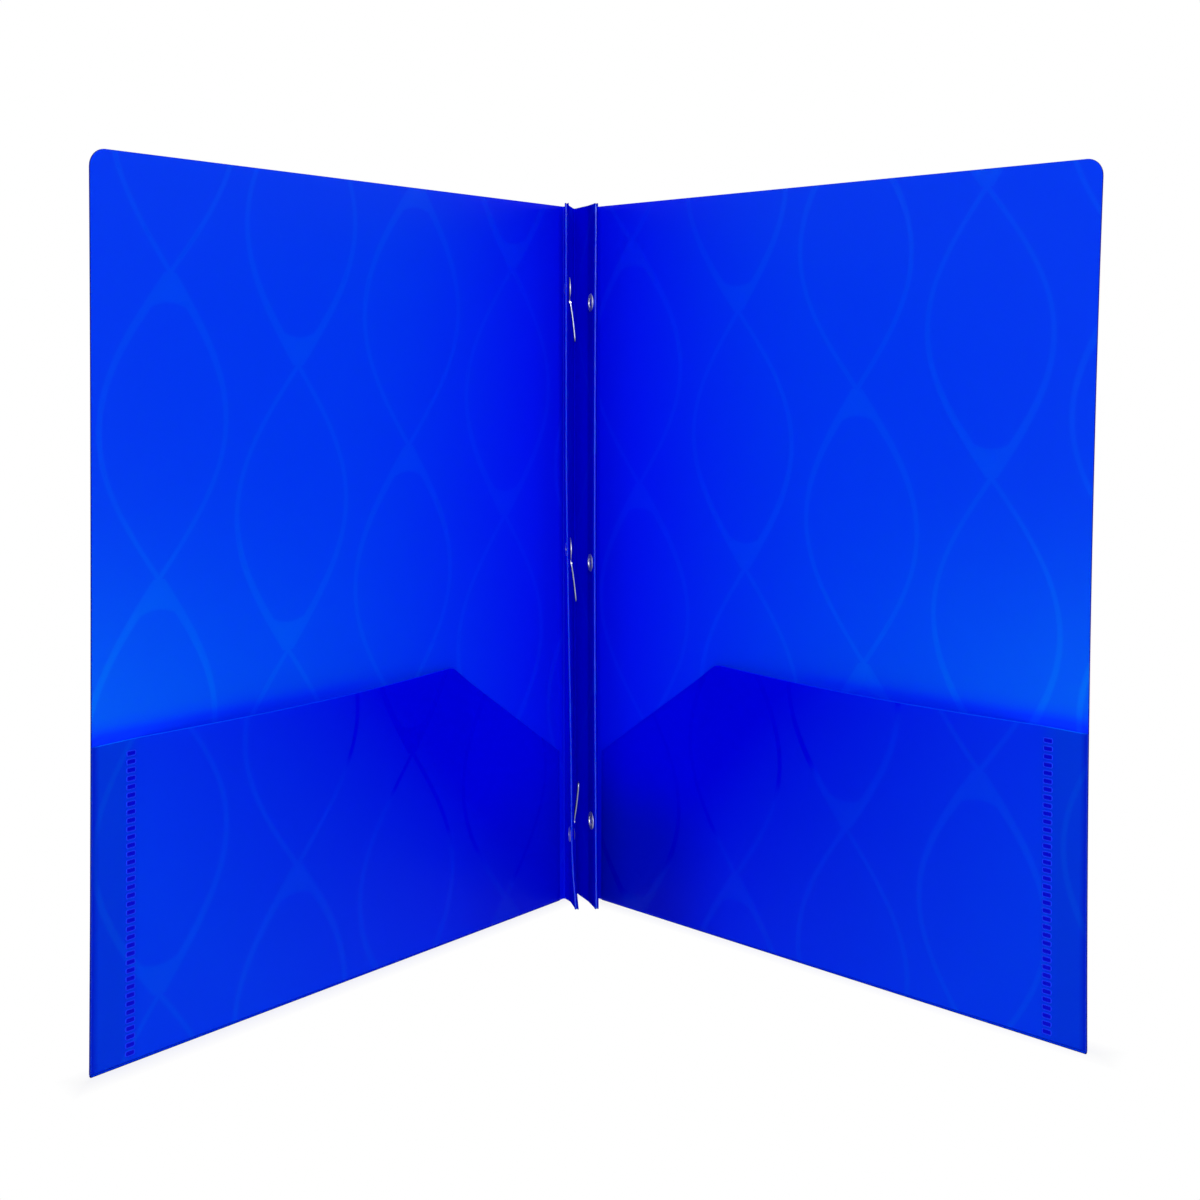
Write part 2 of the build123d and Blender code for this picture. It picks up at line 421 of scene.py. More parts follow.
# How far the painted shade near the spine reaches, at the foot and at the top, and how high the painted glow
# is
spine_shade_reach_foot = 0.78 * cover_width
spine_shade_reach_top = 0.48 * cover_width
painted_glow_height = 55.0 * mm
# Height and reach of the painted shade band above the pocket's mouth
shade_band_height = 4.0 * mm
shade_band_full = 140.0 * mm


def clamp(value):
    """Value held between 0 and 1."""
    return min(max(value, 0.0), 1.0)


def fade(value, full, end):
    """Share that is 1 up to one value and falls softly to 0 at another."""
    share = clamp((end - value) / (end - full))
    return share * share * (3 - 2 * share)


def cover_light_and_shade(along, up):
    """Painted shade in deep blue near the spine, plain blue further out, and a painted glow above the
    pocket's mouth.
    """
    glow = (along / cover_width) ** 2 * math.exp(-(((up - pocket_height) / painted_glow_height) ** 2))
    reach = spine_shade_reach_foot + (spine_shade_reach_top - spine_shade_reach_foot) * up / cover_height
    return 1 - fade(along, 0.0, reach), glow


def cover_shade_band(along, up):
    """Narrow band of painted shade on a cover just above the pocket's mouth, fainter towards the peak."""
    band = math.exp(-(((up - pocket_height) / shade_band_height) ** 2))
    return band * (1 - fade(along, pocket_peak, shade_band_full)), 0.0


# Painted shade near the spine, plain blue, painted glow above the mouth, and the painted shade band
spine_shade_blue = (0.0, 0.0045, 0.79)
plain_blue = (0.0, 0.041, 0.80)
painted_glow_blue = (0.0, 0.11, 0.86)
# Painted shade band: less green, and more blue as a painted lift against the rendered shadow above the mouth
shade_band_blue = (0.0, 0.022, 1.0)
cover_blues = (spine_shade_blue, plain_blue, painted_glow_blue, shade_band_blue)
cover_blue = sheet_finish("cover_blue", cover_blues, roughness=0.36)
# The back keeps the painted shade near the spine, without the painted glow and band
back_blues = (spine_shade_blue, plain_blue, plain_blue, plain_blue)
back_blue = sheet_finish("back_blue", back_blues, roughness=0.36)
cut_blue = cut_finish("cut_blue", colour=(0.0, 0.006, 0.24), roughness=0.45)
cover_rows = 98
for side in side_signs:
    columns = []
    maps = {"sheet": [], "tone": [], "edge": []}
    for along in cover_alongs():
        low = 0.0 if along <= pocket_start else fold_height
        ups = [low + (cover_top(along) - low) * row / cover_rows for row in range(cover_rows + 1)]
        columns.append([panel_point(side, along, up, 0.0) for up in ups])
        maps["sheet"].append([cover_flat(side, along, up) for up in ups])
        maps["tone"].append([cover_light_and_shade(along, up) for up in ups])
        maps["edge"].append([cover_shade_band(along, up) for up in ups])
    name = side + "_cover_panel"
    cover = sheet_piece(name, columns, maps, sheet, [cover_blue, cut_blue, back_blue], flip=side == "left")
    add_bead(cover, panel_point(side, 0.0, 0.0, 0.0), sheet, cover_height)
    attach(cover, side + "_cover")
    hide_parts(side + "_cover")

# Pocket folds
# The same sheet turned up at the foot of each cover: a tight half-round hem from the cover's outer face to
# the pocket's inner face. The folder stands on it.
pocket_gap = 0.4 * mm
hem_radius = (sheet + pocket_gap + sheet) / 2
hem_middle = hem_radius - sheet
hem_wall = 0.45 * mm
hem_steps = 60
# The hem's rounded foot is darkened as painted shade, most where it faces down, and painted deeper near the
# spine
hem_shade_blue = (0.0, 0.003, 0.12)
hem_blues = (spine_shade_blue, plain_blue, hem_shade_blue, plain_blue)
hem_blue = sheet_finish("hem_blue", hem_blues, roughness=0.45, gloss=0.0)
round_steps = 12


def half_turn():
    """Angles of a half turn, in even steps."""
    return [math.pi * step / round_steps for step in range(round_steps + 1)]


hem_turns = half_turn()
for side in side_signs:
    columns = []
    maps = {"sheet": [], "tone": []}
    for step in range(hem_steps + 1):
        along = pocket_start + (cover_width - pocket_start) * step / hem_steps
        column = []
        for turn in hem_turns:
            up = max(hem_radius - hem_radius * math.sin(turn), 0.0)
            column.append(panel_point(side, along, up, hem_middle + hem_radius * math.cos(turn)))
        columns.append(column)
        maps["sheet"].append([cover_flat(side, along, -hem_radius * turn) for turn in hem_turns])
        # Tone: painted shade near the spine, and painted shade on the hem's lower side
        maps["tone"].append([(along / cover_width, math.sqrt(abs(math.sin(turn)))) for turn in hem_turns])
    hem = sheet_piece(side + "_pocket_hem", columns, maps, hem_wall, [hem_blue], flip=side == "right")
    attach(hem, side + "_cover")
    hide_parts(side + "_pocket_fold")

# Pockets
# The turned-up flaps, held at the hem and by a weld near the outer edge. Between them the flap bows away from
# the cover towards its mouth. The mouth rises a little to a soft peak and slants down to the spine.
# Their blue carries painted shade and reflection by the spine and under the peak, and painted shade at the
# foot.
pocket_peak_round = 0.8 * mm
pocket_spine_height = 61.0 * mm
mouth_outer_rise = -1.0 * mm
mouth_peak_rise = 2.2 * mm
pocket_bow = 7.0 * mm
pocket_bow_end = 0.74
pocket_bow_power = 1.15
pocket_flange = 18.0 * mm
pocket_seat = 0.02 * mm
# Painted shade and reflection by the spine, plain blue, duller flange, and painted shade at the foot and rims
pocket_shade_blue = (0.0, 0.0005, 0.70)
pocket_plain = (0.0, 0.040, 0.76)
pocket_flange_blue = (0.0, 0.036, 0.66)
pocket_foot_shade_blue = (0.0, 0.004, 0.46)
pocket_blues = (pocket_shade_blue, pocket_plain, pocket_flange_blue, pocket_foot_shade_blue)
pocket_blue = sheet_finish("pocket_blue", pocket_blues, roughness=0.32, gloss=0.02)
# The cut edge of the pocket's mouth is lighter than the pocket, a painted highlight, dimmer near the spine;
# at the rims it takes painted shade
mouth_dim_highlight = (0.0, 0.01, 0.84)
mouth_highlight = (0.0, 0.14, 0.94)
mouth_blues = (mouth_dim_highlight, mouth_highlight, mouth_highlight, pocket_foot_shade_blue)
mouth_blue = sheet_finish("mouth_blue", mouth_blues, roughness=0.3, lined=False)
pocket_shifts = {"left": (10.4 * mm, 39.6 * mm), "right": (4.2 * mm, -3.1 * mm)}
# Slant and reach of the painted shade and reflection zone on each pocket
shade_slope = 1.085
shade_runs = {"left": 165.0 * mm, "right": 185.0 * mm}
flange_soft = 6.0 * mm
# Painted shade at the pocket's foot by the spine, and along its outer rim and lowest row
foot_shades = {"left": 0.4, "right": 1.0}
foot_shade_along = (32.0 * mm, 85.0 * mm)
foot_shade_up = (30.0 * mm, 66.0 * mm)
rim_shade = 0.9
rim_width = 1.3 * mm
foot_rim = 0.5 * mm
# Above this slanted limit the pocket's lattice lines turn dark, a painted reflection of the dark behind the
# other flap
reflection_slope = 0.65
reflection_soft = 3.0 * mm
reflection_rise = -6.0 * mm


def pocket_top(along):
    """Height of the pocket's mouth: the lower of its long and its slanted edge, rounded where they meet."""
    tilt = (cover_width - along) / (cover_width - pocket_peak)
    long_edge = pocket_height + mouth_outer_rise + (mouth_peak_rise - mouth_outer_rise) * tilt
    rise = pocket_height + mouth_peak_rise - pocket_spine_height
    below = pocket_spine_height + rise * along / pocket_peak - long_edge
    return long_edge + (below - math.sqrt(below**2 + pocket_peak_round**2)) / 2


def pocket_out(along, up):
    """How far the back of the pocket stands off the cover's inner face."""
    reach = cover_width - pocket_flange
    share = max((reach - along) / (reach - pocket_start), 0.0)
    rise = (up - fold_height) / (pocket_height - fold_height)
    bow = pocket_bow * math.sin(math.pi * min(share / pocket_bow_end, 1.0))
    return pocket_seat + pocket_gap * share * (1 - rise) + bow * max(rise, 0.0) ** pocket_bow_power


def pocket_flat(side, along, up):
    """Place of a point of a pocket on the flat sheet, which is upside down on the turned-up flap."""
    shift_along, shift_up = pocket_shifts[side]
    return side_signs[side] * along + shift_along, shift_up - up


def pocket_tone(side, along, up):
    """Tone of a pocket: painted shade and reflection in deep blue by the spine and under the peak, plain
    towards its outer foot.

    Past the weld the flange is duller.
    """
    run = along - shade_slope * up
    past = (along - cover_width + pocket_flange) / flange_soft
    return clamp(run / shade_runs[side]), clamp(past)


def pocket_edge(side, along, up):
    """Painted shade of a pocket's foot by the spine and of its rims, and dark lines above a slanted limit as
    a painted reflection.
    """
    shade = foot_shades[side] * fade(along, *foot_shade_along) * fade(up, *foot_shade_up)
    if along > cover_width - rim_width or up <= fold_height:
        shade = rim_shade
    past_limit = up - reflection_slope * along - reflection_rise
    return shade, 1 - fade(past_limit, -reflection_soft, reflection_soft)


pocket_columns = 90
pocket_rows = 24
for side in side_signs:
    columns = []
    maps = {"sheet": [], "tone": [], "edge": []}
    for step in range(pocket_columns + 1):
        along = pocket_start + (cover_width - pocket_start) * step / pocket_columns
        low = fold_height + foot_rim
        span = pocket_top(along) - low
        ups = [fold_height] + [low + span * row / pocket_rows for row in range(pocket_rows + 1)]
        columns.append([panel_point(side, along, up, pocket_out(along, up) + sheet) for up in ups])
        maps["sheet"].append([pocket_flat(side, along, up) for up in ups])
        maps["tone"].append([pocket_tone(side, along, up) for up in ups])
        maps["edge"].append([pocket_edge(side, along, up) for up in ups])
    name = side + "_pocket_flap"
    pocket = sheet_piece(name, columns, maps, sheet, [pocket_blue, mouth_blue], flip=side == "left")
    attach(pocket, side + "_cover")
    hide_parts(side + "_pocket")

# Pocket welds
# A column of short pressed bars near the outer edge, where a heated comb has melted the flap to the cover.
# The bars are glossier and darker, partly painted shade; each has a thin raised burr, lighter as a painted
# highlight.
weld_inset = 15.0 * mm
weld_pitch = 2.7 * mm
weld_count = 37
bar_corner_share = 0.3
bar_corner_steps = 2
burr_steps = 6
weld_tree, given, made = new_group(
    "weld_bars",
    "GeometryNodeTree",
    [("Points", "NodeSocketGeometry")]
    + numbers("Bar length", "Bar height", "Burr", "Depth")
    + [("Bar finish", "NodeSocketMaterial"), ("Burr finish", "NodeSocketMaterial")],
    [("Bars", "NodeSocketGeometry")],
)


def rounded_bar(tree, width, height, rounding, count):
    """Closed curve of a rectangle with rounded corners."""
    outline = add_node(tree, "GeometryNodeCurvePrimitiveQuadrilateral", {"Width": width, "Height": height})[0]
    corners = {"Curve": outline, "Count": count, "Radius": rounding, "Limit Radius": True}
    return add_node(tree, "GeometryNodeFilletCurve", corners, mode="POLY")[0]


def ring_curve(tree, radius, steps):
    """Closed curve of a circle."""
    return add_node(tree, "GeometryNodeCurvePrimitiveCircle", {"Resolution": steps, "Radius": radius})[0]


def swept(tree, curve, profile, capped=False):
    """Surface of a profile that is led along a curve."""
    inputs = {"Curve": curve, "Profile Curve": profile, "Fill Caps": capped}
    return add_node(tree, "GeometryNodeCurveToMesh", inputs)[0]


def finished(tree, shape, finish):
    """Shape with its material."""
    return add_node(tree, "GeometryNodeSetMaterial", {"Geometry": shape, "Material": finish})[0]


def joined(tree, shapes):
    """Several shapes as one."""
    whole = tree.nodes.new("GeometryNodeJoinGeometry")
    for shape in shapes:
        tree.links.new(shape, whole.inputs[0])
    return whole.outputs[0]


bar_corner = calc(weld_tree, "MULTIPLY", given["Bar height"], bar_corner_share)
bar_outline = rounded_bar(weld_tree, given["Bar length"], given["Bar height"], bar_corner, bar_corner_steps)
bar_face = add_node(weld_tree, "GeometryNodeFillCurve", {"Curve": bar_outline}, mode="NGONS")[0]
bar_inputs = {"Mesh": bar_face, "Offset Scale": given["Depth"]}
bar_solid = add_node(weld_tree, "GeometryNodeExtrudeMesh", bar_inputs)[0]
bar_solid = finished(weld_tree, bar_solid, given["Bar finish"])
burr = swept(weld_tree, bar_outline, ring_curve(weld_tree, given["Burr"], burr_steps))
burr = finished(weld_tree, burr, given["Burr finish"])
weld_mark = joined(weld_tree, (bar_solid, burr))


def instances_on_points(tree, points, shape):
    """Copies of a shape on points, each turned by its own angles, as one real mesh."""
    turn = add_node(tree, "GeometryNodeInputNamedAttribute", ["turn"], data_type="FLOAT_VECTOR")[0]
    rotation = add_node(tree, "FunctionNodeEulerToRotation", [turn])[0]
    inputs = {"Points": points, "Instance": shape, "Rotation": rotation}
    copies = add_node(tree, "GeometryNodeInstanceOnPoints", inputs)[0]
    return add_node(tree, "GeometryNodeRealizeInstances", [copies])[0]


weld_tree.links.new(instances_on_points(weld_tree, given["Points"], weld_mark), made["Bars"])


def copies_piece(name, tree, frames, values):
    """Piece that a tree makes on turned points; values go to the tree's inputs by their names."""
    obj = new_object(name, [place.translation for place in frames], [])
    turns = obj.data.attributes.new("turn", "FLOAT_VECTOR", "POINT")
    for item, place in zip(turns.data, frames):
        item.vector = place.to_euler()
    maker = obj.modifiers.new("copies", "NODES")
    maker.node_group = tree
    for socket in tree.interface.items_tree:
        if socket.in_out == "INPUT" and socket.name in values:
            maker[socket.identifier] = values[socket.name]
    return settle(obj)


def frame_of(across, up, out, place):
    """Matrix with the given axes and origin."""
    turn = Matrix((across, up, out)).transposed().to_4x4()
    return Matrix.Translation(place) @ turn


# Partly painted shade in the weld dents, and a painted highlight on their burrs
weld_dent_shade = cut_finish("weld_dent_shade", colour=(0.0, 0.001, 0.55), roughness=0.30)
weld_burr_highlight = cut_finish("weld_burr_highlight", colour=(0.008, 0.04, 0.84), roughness=0.28)
weld_along = cover_width - weld_inset
for side in side_signs:
    frames = []
    for row in range(weld_count):
        up = fold_height + weld_pitch * (row + 1)
        place = panel_point(side, weld_along, up, pocket_seat + sheet)
        across = (panel_point(side, weld_along + mm, up, pocket_seat + sheet) - place).normalized()
        upward = Vector((0.0, 0.0, 1.0))
        out = across.cross(upward) * side_signs[side]
        frames.append(frame_of(across * side_signs[side], upward, out, place))
    weld = copies_piece(
        side + "_weld_bars",
        weld_tree,
        frames,
        {
            "Bar length": 3.5 * mm,
            "Bar height": 1.6 * mm,
            "Burr": 0.22 * mm,
            "Depth": 0.08 * mm,
            "Bar finish": weld_dent_shade,
            "Burr finish": weld_burr_highlight,
        },
    )
    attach(weld, side + "_cover")
    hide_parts(side + "_pocket_weld")

# Spine fins
# Between the covers the sheet is folded into an M: two fins stand forward, each of two leaves that lie flat
# together and turn over in a rounded ridge, with a valley between them at the back.
# The fins' blue carries painted light at the valley, painted shade on leaves and ridge and a painted
# highlight on each ridge.
ridge_radius = 0.85 * mm
fin_wall = 0.5 * mm
fin_face = 0.57 * mm
fin_clamp = 12.0 * mm
leaf_bend = 5.0 * mm
fin_reach = 17.0 * mm
crease_gap = 0.62 * mm
fin_plans = {
    "left": {"tip": (-3.9 * mm, -fin_reach), "lean": math.radians(-3.0), "ends": ("left_crease", "valley")},
    "right": {"tip": (6.3 * mm, -fin_reach), "lean": math.radians(-13.0), "ends": ("valley", "right_crease")},
}
crease_places = {
    "left_crease": Vector((-crease_x, 0.0)),
    "right_crease": Vector((crease_x, 0.0)),
    "valley": Vector(joint_places["spine_fold"][:2]) - Vector((0.0, crease_y)),
}

# The left fin's ridge drifts to the left above its foot, where it flares to the right; the right one's bows
ridge_drift = -2.1 * mm
drift_start = 25.0 * mm
drift_end = 200.0 * mm
ridge_flare = 1.9 * mm
flare_height = 34.0 * mm
ridge_bow = -0.6 * mm


def fin_shift(fin, depth, up):
    """Sideways drift of a fin at a depth in front of the crease and a height."""
    reach = clamp(depth / fin_reach)
    if fin == "right":
        return ridge_bow * math.sin(math.pi * up / cover_height) * reach
    drift = ridge_drift * (1 - fade(up, drift_start, drift_end))
    flare = ridge_flare * max(1 - up / flare_height, 0.0) ** 2
    return (drift + flare) * reach


def fin_back(fin):
    """Plan direction from a fin's ridge to the back."""
    lean = fin_plans[fin]["lean"]
    return Vector((math.sin(lean), math.cos(lean)))


def fin_at(fin, depth, side_off):
    """Plan place on a fin: depth from its tip to the back and distance to the right of its middle."""
    back = fin_back(fin)
    right = Vector((back.y, -back.x))
    return Vector(fin_plans[fin]["tip"]) + back * depth + right * side_off


def fin_place(fin, place, up):
    """Place in space of a plan place of a fin, at a height."""
    return Vector((place.x + fin_shift(fin, -place.y, up), place.y + crease_y, up))


def rounded_corner(before, corner, after, radius, steps=7):
    """Points of the arc that rounds a corner of a plan line."""
    to_before = (before - corner).normalized()
    to_after = (after - corner).normalized()
    half = to_before.angle(to_after) / 2
    cut = radius / math.tan(half)
    centre = corner + (to_before + to_after).normalized() * radius / math.sin(half)
    first = corner + to_before * cut - centre
    last = corner + to_after * cut - centre
    return [centre + first.slerp(last, step / steps).normalized() * radius for step in range(steps + 1)]


def fin_line(fin):
    """Plan line of a fin's outer face, from its left end round the ridge to its right end."""
    left_end, right_end = (crease_places[name] for name in fin_plans[fin]["ends"])
    left_clamp = fin_at(fin, fin_clamp, -fin_face)
    right_clamp = fin_at(fin, fin_clamp, fin_face)
    ridge_start = 3.5 * ridge_radius
    left_leaf = rounded_corner(left_end, left_clamp, fin_at(fin, 0.0, -fin_face), leaf_bend)
    right_leaf = rounded_corner(fin_at(fin, 0.0, fin_face), right_clamp, right_end, leaf_bend)
    ridge = [
        fin_at(fin, ridge_radius - ridge_radius * math.sin(turn), -ridge_radius * math.cos(turn))
        for turn in half_turn()
    ]
    left_gap = (left_leaf[0] - left_end).normalized() * crease_gap
    right_gap = (right_leaf[-1] - right_end).normalized() * crease_gap
    return (
        [left_end + left_gap]
        + left_leaf
        + [fin_at(fin, ridge_start, -fin_face)]
        + ridge
        + [fin_at(fin, ridge_start, fin_face)]
        + right_leaf
        + [right_end + right_gap]
    )


# Place and width of the painted highlight line on the ridge
highlight_depth = 0.12 * mm
highlight_side = 0.35 * mm
highlight_width = 0.2 * mm
fin_corner = 0.5 * mm
leaf_shade_share = 0.4


def fin_tone(place, fin):
    """Tone of a fin: painted light at the valley, painted shade on leaves and ridge, and a painted highlight
    on the ridge.
    """
    highlight_gap = (place - fin_at(fin, highlight_depth, -highlight_side)).length
    depth = (place - fin_at(fin, 0.0, 0.0)).length
    leaf = clamp((fin_reach - depth) / (fin_reach - fin_clamp))
    ridge = clamp(2 - depth / ridge_radius)
    return leaf_shade_share * leaf + (1 - leaf_shade_share) * ridge, math.exp(-((highlight_gap / highlight_width) ** 2))


# Painted light through the sheet at the valley, painted shade on the ridge, and a painted highlight line that
# also has a glossy coat
valley_lit_blue = (0.0, 0.001, 0.95)
ridge_shade_blue = (0.0, 0.0005, 0.42)
ridge_highlight_blue = (0.02, 0.075, 0.95)
fin_blues = (valley_lit_blue, ridge_shade_blue, ridge_highlight_blue, ridge_shade_blue)
fin_scatter = (1.0, 2.5 * mm)
fin_blue = sheet_finish("fin_blue", fin_blues, roughness=0.3, gloss=0.0, scatter=fin_scatter, coat=0.8)
fin_rows = 72
for fin in fin_plans:
    columns = []
    maps = {"sheet": [], "tone": []}
    run = 0.0
    line = fin_line(fin)
    for index, place in enumerate(line):
        run += (place - line[index - 1]).length if index else 0.0
        past = max(fin_corner - (place - fin_at(fin, 0.0, 0.0)).dot(fin_back(fin)), 0.0)
        cut = fin_corner - math.sqrt(fin_corner**2 - min(past, fin_corner) ** 2)
        ups = [cut + (cover_height - 2 * cut) * row / fin_rows for row in range(fin_rows + 1)]
        columns.append([fin_place(fin, place, up) for up in ups])
        maps["sheet"].append([(run, up) for up in ups])
        maps["tone"].append([fin_tone(place, fin)] * len(ups))
    piece = sheet_piece(fin + "_fin_sheet", columns, maps, fin_wall, [fin_blue, cut_blue])
    if fin == "left":
        add_bead(piece, joint_places["spine_fold"], sheet, cover_height)
    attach(piece, fin + "_fin")
    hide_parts(fin + "_fin_outer_leaf", fin + "_fin_inner_leaf")

# Eyelets and tang rivets
# Tubular fasteners of nickel plated steel, pushed through both leaves of a fin and rolled over. The eyelets
# on the right fin take the prongs, and the smaller rivets on the left fin hold the tangs.
hole_heights = {place: joint_places[place + "_prong_bend"].z for place in ("upper", "middle", "lower")}
fastener_inset = 6.5 * mm
ring_steps = 48
section_steps = 20
profile_steps = 4
corner_share = 0.4
spool_tree, given, made = new_group(
    "rolled_spools",
    "GeometryNodeTree",
    [("Points", "NodeSocketGeometry")]
    + numbers("Bore", "Barrel", "Low flange", "High flange", "Thickness", "Grip low", "Grip high")
    + [("Finish", "NodeSocketMaterial")],
    [("Spools", "NodeSocketGeometry")],
)


def vector(tree, **parts):
    """Vector of the given parts X, Y and Z."""
    return add_node(tree, "ShaderNodeCombineXYZ", parts)[0]


def between(tree, first, second):
    """Middle of two values."""
    return calc(tree, "MULTIPLY", calc(tree, "ADD", first, second), 0.5)


def lifted(tree, shape, level):
    """Shape moved up to a level."""
    lift = vector(tree, Z=level)
    return add_node(tree, "GeometryNodeTransform", {"Geometry": shape, "Translation": lift})[0]


def rolled_ring(tree, inner, outer, low, high, rounding):
    """Ring with rounded edges, between two radii and two heights."""
    width = calc(tree, "SUBTRACT", outer, inner)
    height = calc(tree, "SUBTRACT", high, low)
    circle = ring_curve(tree, between(tree, outer, inner), ring_steps)
    ring = swept(tree, circle, rounded_bar(tree, width, height, rounding, profile_steps))
    return lifted(tree, ring, between(tree, low, high))


def domed_ring(tree, inner, outer, level, height):
    """Rolled rim: a ring whose section is an ellipse with its middle on a face."""
    half_width = calc(tree, "MULTIPLY", calc(tree, "SUBTRACT", outer, inner), 0.5)
    circle = ring_curve(tree, between(tree, outer, inner), ring_steps)
    size = vector(tree, X=half_width, Y=height, Z=1.0)
    section = {"Geometry": ring_curve(tree, 1.0, section_steps), "Scale": size}
    ring = swept(tree, circle, add_node(tree, "GeometryNodeTransform", section)[0])
    return lifted(tree, ring, level)


low_end = calc(spool_tree, "SUBTRACT", given["Grip low"], given["Thickness"])
high_end = calc(spool_tree, "ADD", given["Grip high"], given["Thickness"])
wall = calc(spool_tree, "SUBTRACT", given["Barrel"], given["Bore"])
barrel_corner = calc(spool_tree, "MULTIPLY", wall, corner_share)
spool = joined(
    spool_tree,
    (
        domed_ring(spool_tree, given["Bore"], given["Low flange"], given["Grip low"], given["Thickness"]),
        domed_ring(spool_tree, given["Bore"], given["High flange"], given["Grip high"], given["Thickness"]),
        rolled_ring(spool_tree, given["Bore"], given["Barrel"], low_end, high_end, barrel_corner),
    ),
)
spools = instances_on_points(spool_tree, given["Points"], spool)
spool_tree.links.new(finished(spool_tree, spools, given["Finish"]), made["Spools"])
wear_line_scale = 6000.0
wear_line_stretch = (1.0, 1.0, 0.08)
wear_line_detail = 3.0
wear_line_strength = 0.25
wear_line_depth = 0.01 * mm
wear_spot_scale = 420.0
wear_spot_detail = 4.0
wear_spread = 0.18


def metal_wear():
    """Fine drawn lines and rubbed spots of plated strip."""
    tree, given, made = new_group(
        "metal_wear",
        "ShaderNodeTree",
        [("Place", "NodeSocketVector")] + numbers("Line scale", "Spot scale"),
        numbers("Lines", "Spots"),
    )
    drawn = add_node(tree, "ShaderNodeMapping", {"Vector": given["Place"], "Scale": wear_line_stretch})[0]
    tree.links.new(noise(tree, drawn, given["Line scale"], wear_line_detail), made["Lines"])
    tree.links.new(noise(tree, given["Place"], given["Spot scale"], wear_spot_detail), made["Spots"])
    return tree


wear_group = metal_wear()


def metal_finish(name, colour, dull_colour, roughness):
    """Nickel plate with drawn lines, duller where it is rubbed."""
    material, tree, shader, place = new_material(name)
    scales = {"Place": place, "Line scale": wear_line_scale, "Spot scale": wear_spot_scale}
    wear = add_node(tree, "ShaderNodeGroup", scales, node_tree=wear_group)
    mixed = mix_colour(tree, wear["Spots"], (*colour, 1.0), (*dull_colour, 1.0))
    rough = spread_round(tree, wear["Lines"], wear_spread, roughness)
    set_inputs(tree, shader, {"Base Color": mixed, "Roughness": rough, "Metallic": 1.0})
    add_relief(tree, shader, wear["Lines"], wear_line_strength, wear_line_depth)
    return material


def fin_frame(fin, up, normal_sign, up_sign=1):
    """Frame on a fin's middle at a fastener: Z along the face normal, Y up or down."""
    place = fin_at(fin, fastener_inset, 0.0)
    back = fin_back(fin)
    out = Vector((back.y, -back.x, 0.0)) * normal_sign
    across = Vector((back.x, back.y, 0.0)) * normal_sign * up_sign
    return frame_of(across, out.cross(across), out, fin_place(fin, place, up))


nickel_white = (0.84, 0.84, 0.84)
nickel_dull = (0.64, 0.64, 0.65)
nickel = metal_finish("nickel", nickel_white, nickel_dull, roughness=0.42)
prong_ways = {"upper": -1, "middle": -1, "lower": 1}
prong_offset = 5.6 * mm
tang_thickness = 0.4 * mm
tang_frames = {
    place: fin_frame("left", up - prong_ways[place] * prong_offset, 1, prong_ways[place])
    for place, up in hole_heights.items()
}
eyelets = copies_piece(
    "eyelets",
    spool_tree,
    [fin_frame("right", up, -1) for up in hole_heights.values()],
    {
        "Bore": 2.0 * mm,
        "Barrel": 2.4 * mm,
        "Low flange": 3.2 * mm,
        "High flange": 3.7 * mm,
        "Thickness": 0.5 * mm,
        "Grip low": -fin_face,
        "Grip high": fin_face,
        "Finish": nickel,
    },
)
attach(eyelets, "right_fin")
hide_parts(*[place + "_eyelet" for place in hole_heights])
rivets = copies_piece(
    "tang_rivets",
    spool_tree,
    list(tang_frames.values()),
    {
        "Bore": 1.1 * mm,
        "Barrel": 1.6 * mm,
        "Low flange": 3.1 * mm,
        "High flange": 2.6 * mm,
        "Thickness": 0.5 * mm,
        "Grip low": -fin_face,
        "Grip high": fin_face + tang_thickness,
        "Finish": nickel,
    },
)
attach(rivets, "left_fin")
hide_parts(*[place + "_tang_rivet" for place in hole_heights])

# Tang bases
# Round stamped plates under the rivets on the left fin, of nickel plated steel, each with a short neck that
# ends in the rolled knuckle where its prong bends.
prong_width = 3.6 * mm
prong_bead = 0.4 * mm
prong_rise = 0.5 * mm
base_tree, given, made = new_group(
    "tang_bases",
    "GeometryNodeTree",
    [("Points", "NodeSocketGeometry")]
    + numbers("Hole", "Radius", "Thickness", "Face")
    + numbers("Neck width", "Neck end", "Knuckle", "Knuckle rise")
    + [("Finish", "NodeSocketMaterial")],
    [("Bases", "NodeSocketGeometry")],
)


def line_between(tree, start, end):
    """Straight curve between two points."""
    return add_node(tree, "GeometryNodeCurvePrimitiveLine", {"Start": start, "End": end})[0]


base_top = calc(base_tree, "ADD", given["Face"], given["Thickness"])
base_middle = calc(base_tree, "MULTIPLY_ADD", given["Thickness"], 0.5, given["Face"])
base_corner = calc(base_tree, "MULTIPLY", given["Thickness"], corner_share)
disc = rolled_ring(base_tree, given["Hole"], given["Radius"], given["Face"], base_top, base_corner)
neck_start = vector(base_tree, Y=given["Hole"], Z=base_middle)
neck_end = vector(base_tree, Y=given["Neck end"], Z=base_middle)
neck_line = line_between(base_tree, neck_start, neck_end)
neck_section = rounded_bar(base_tree, given["Neck width"], given["Thickness"], base_corner, profile_steps)
neck = swept(base_tree, neck_line, neck_section, capped=True)
half_neck = calc(base_tree, "MULTIPLY", given["Neck width"], 0.5)
other_half = calc(base_tree, "MULTIPLY", half_neck, -1.0)
knuckle_up = calc(base_tree, "ADD", given["Face"], given["Knuckle rise"])
knuckle_start = vector(base_tree, X=other_half, Y=given["Neck end"], Z=knuckle_up)
knuckle_end = vector(base_tree, X=half_neck, Y=given["Neck end"], Z=knuckle_up)
knuckle_line = line_between(base_tree, knuckle_start, knuckle_end)
knuckle = swept(base_tree, knuckle_line, ring_curve(base_tree, given["Knuckle"], section_steps), capped=True)
plates = instances_on_points(base_tree, given["Points"], joined(base_tree, (disc, neck, knuckle)))
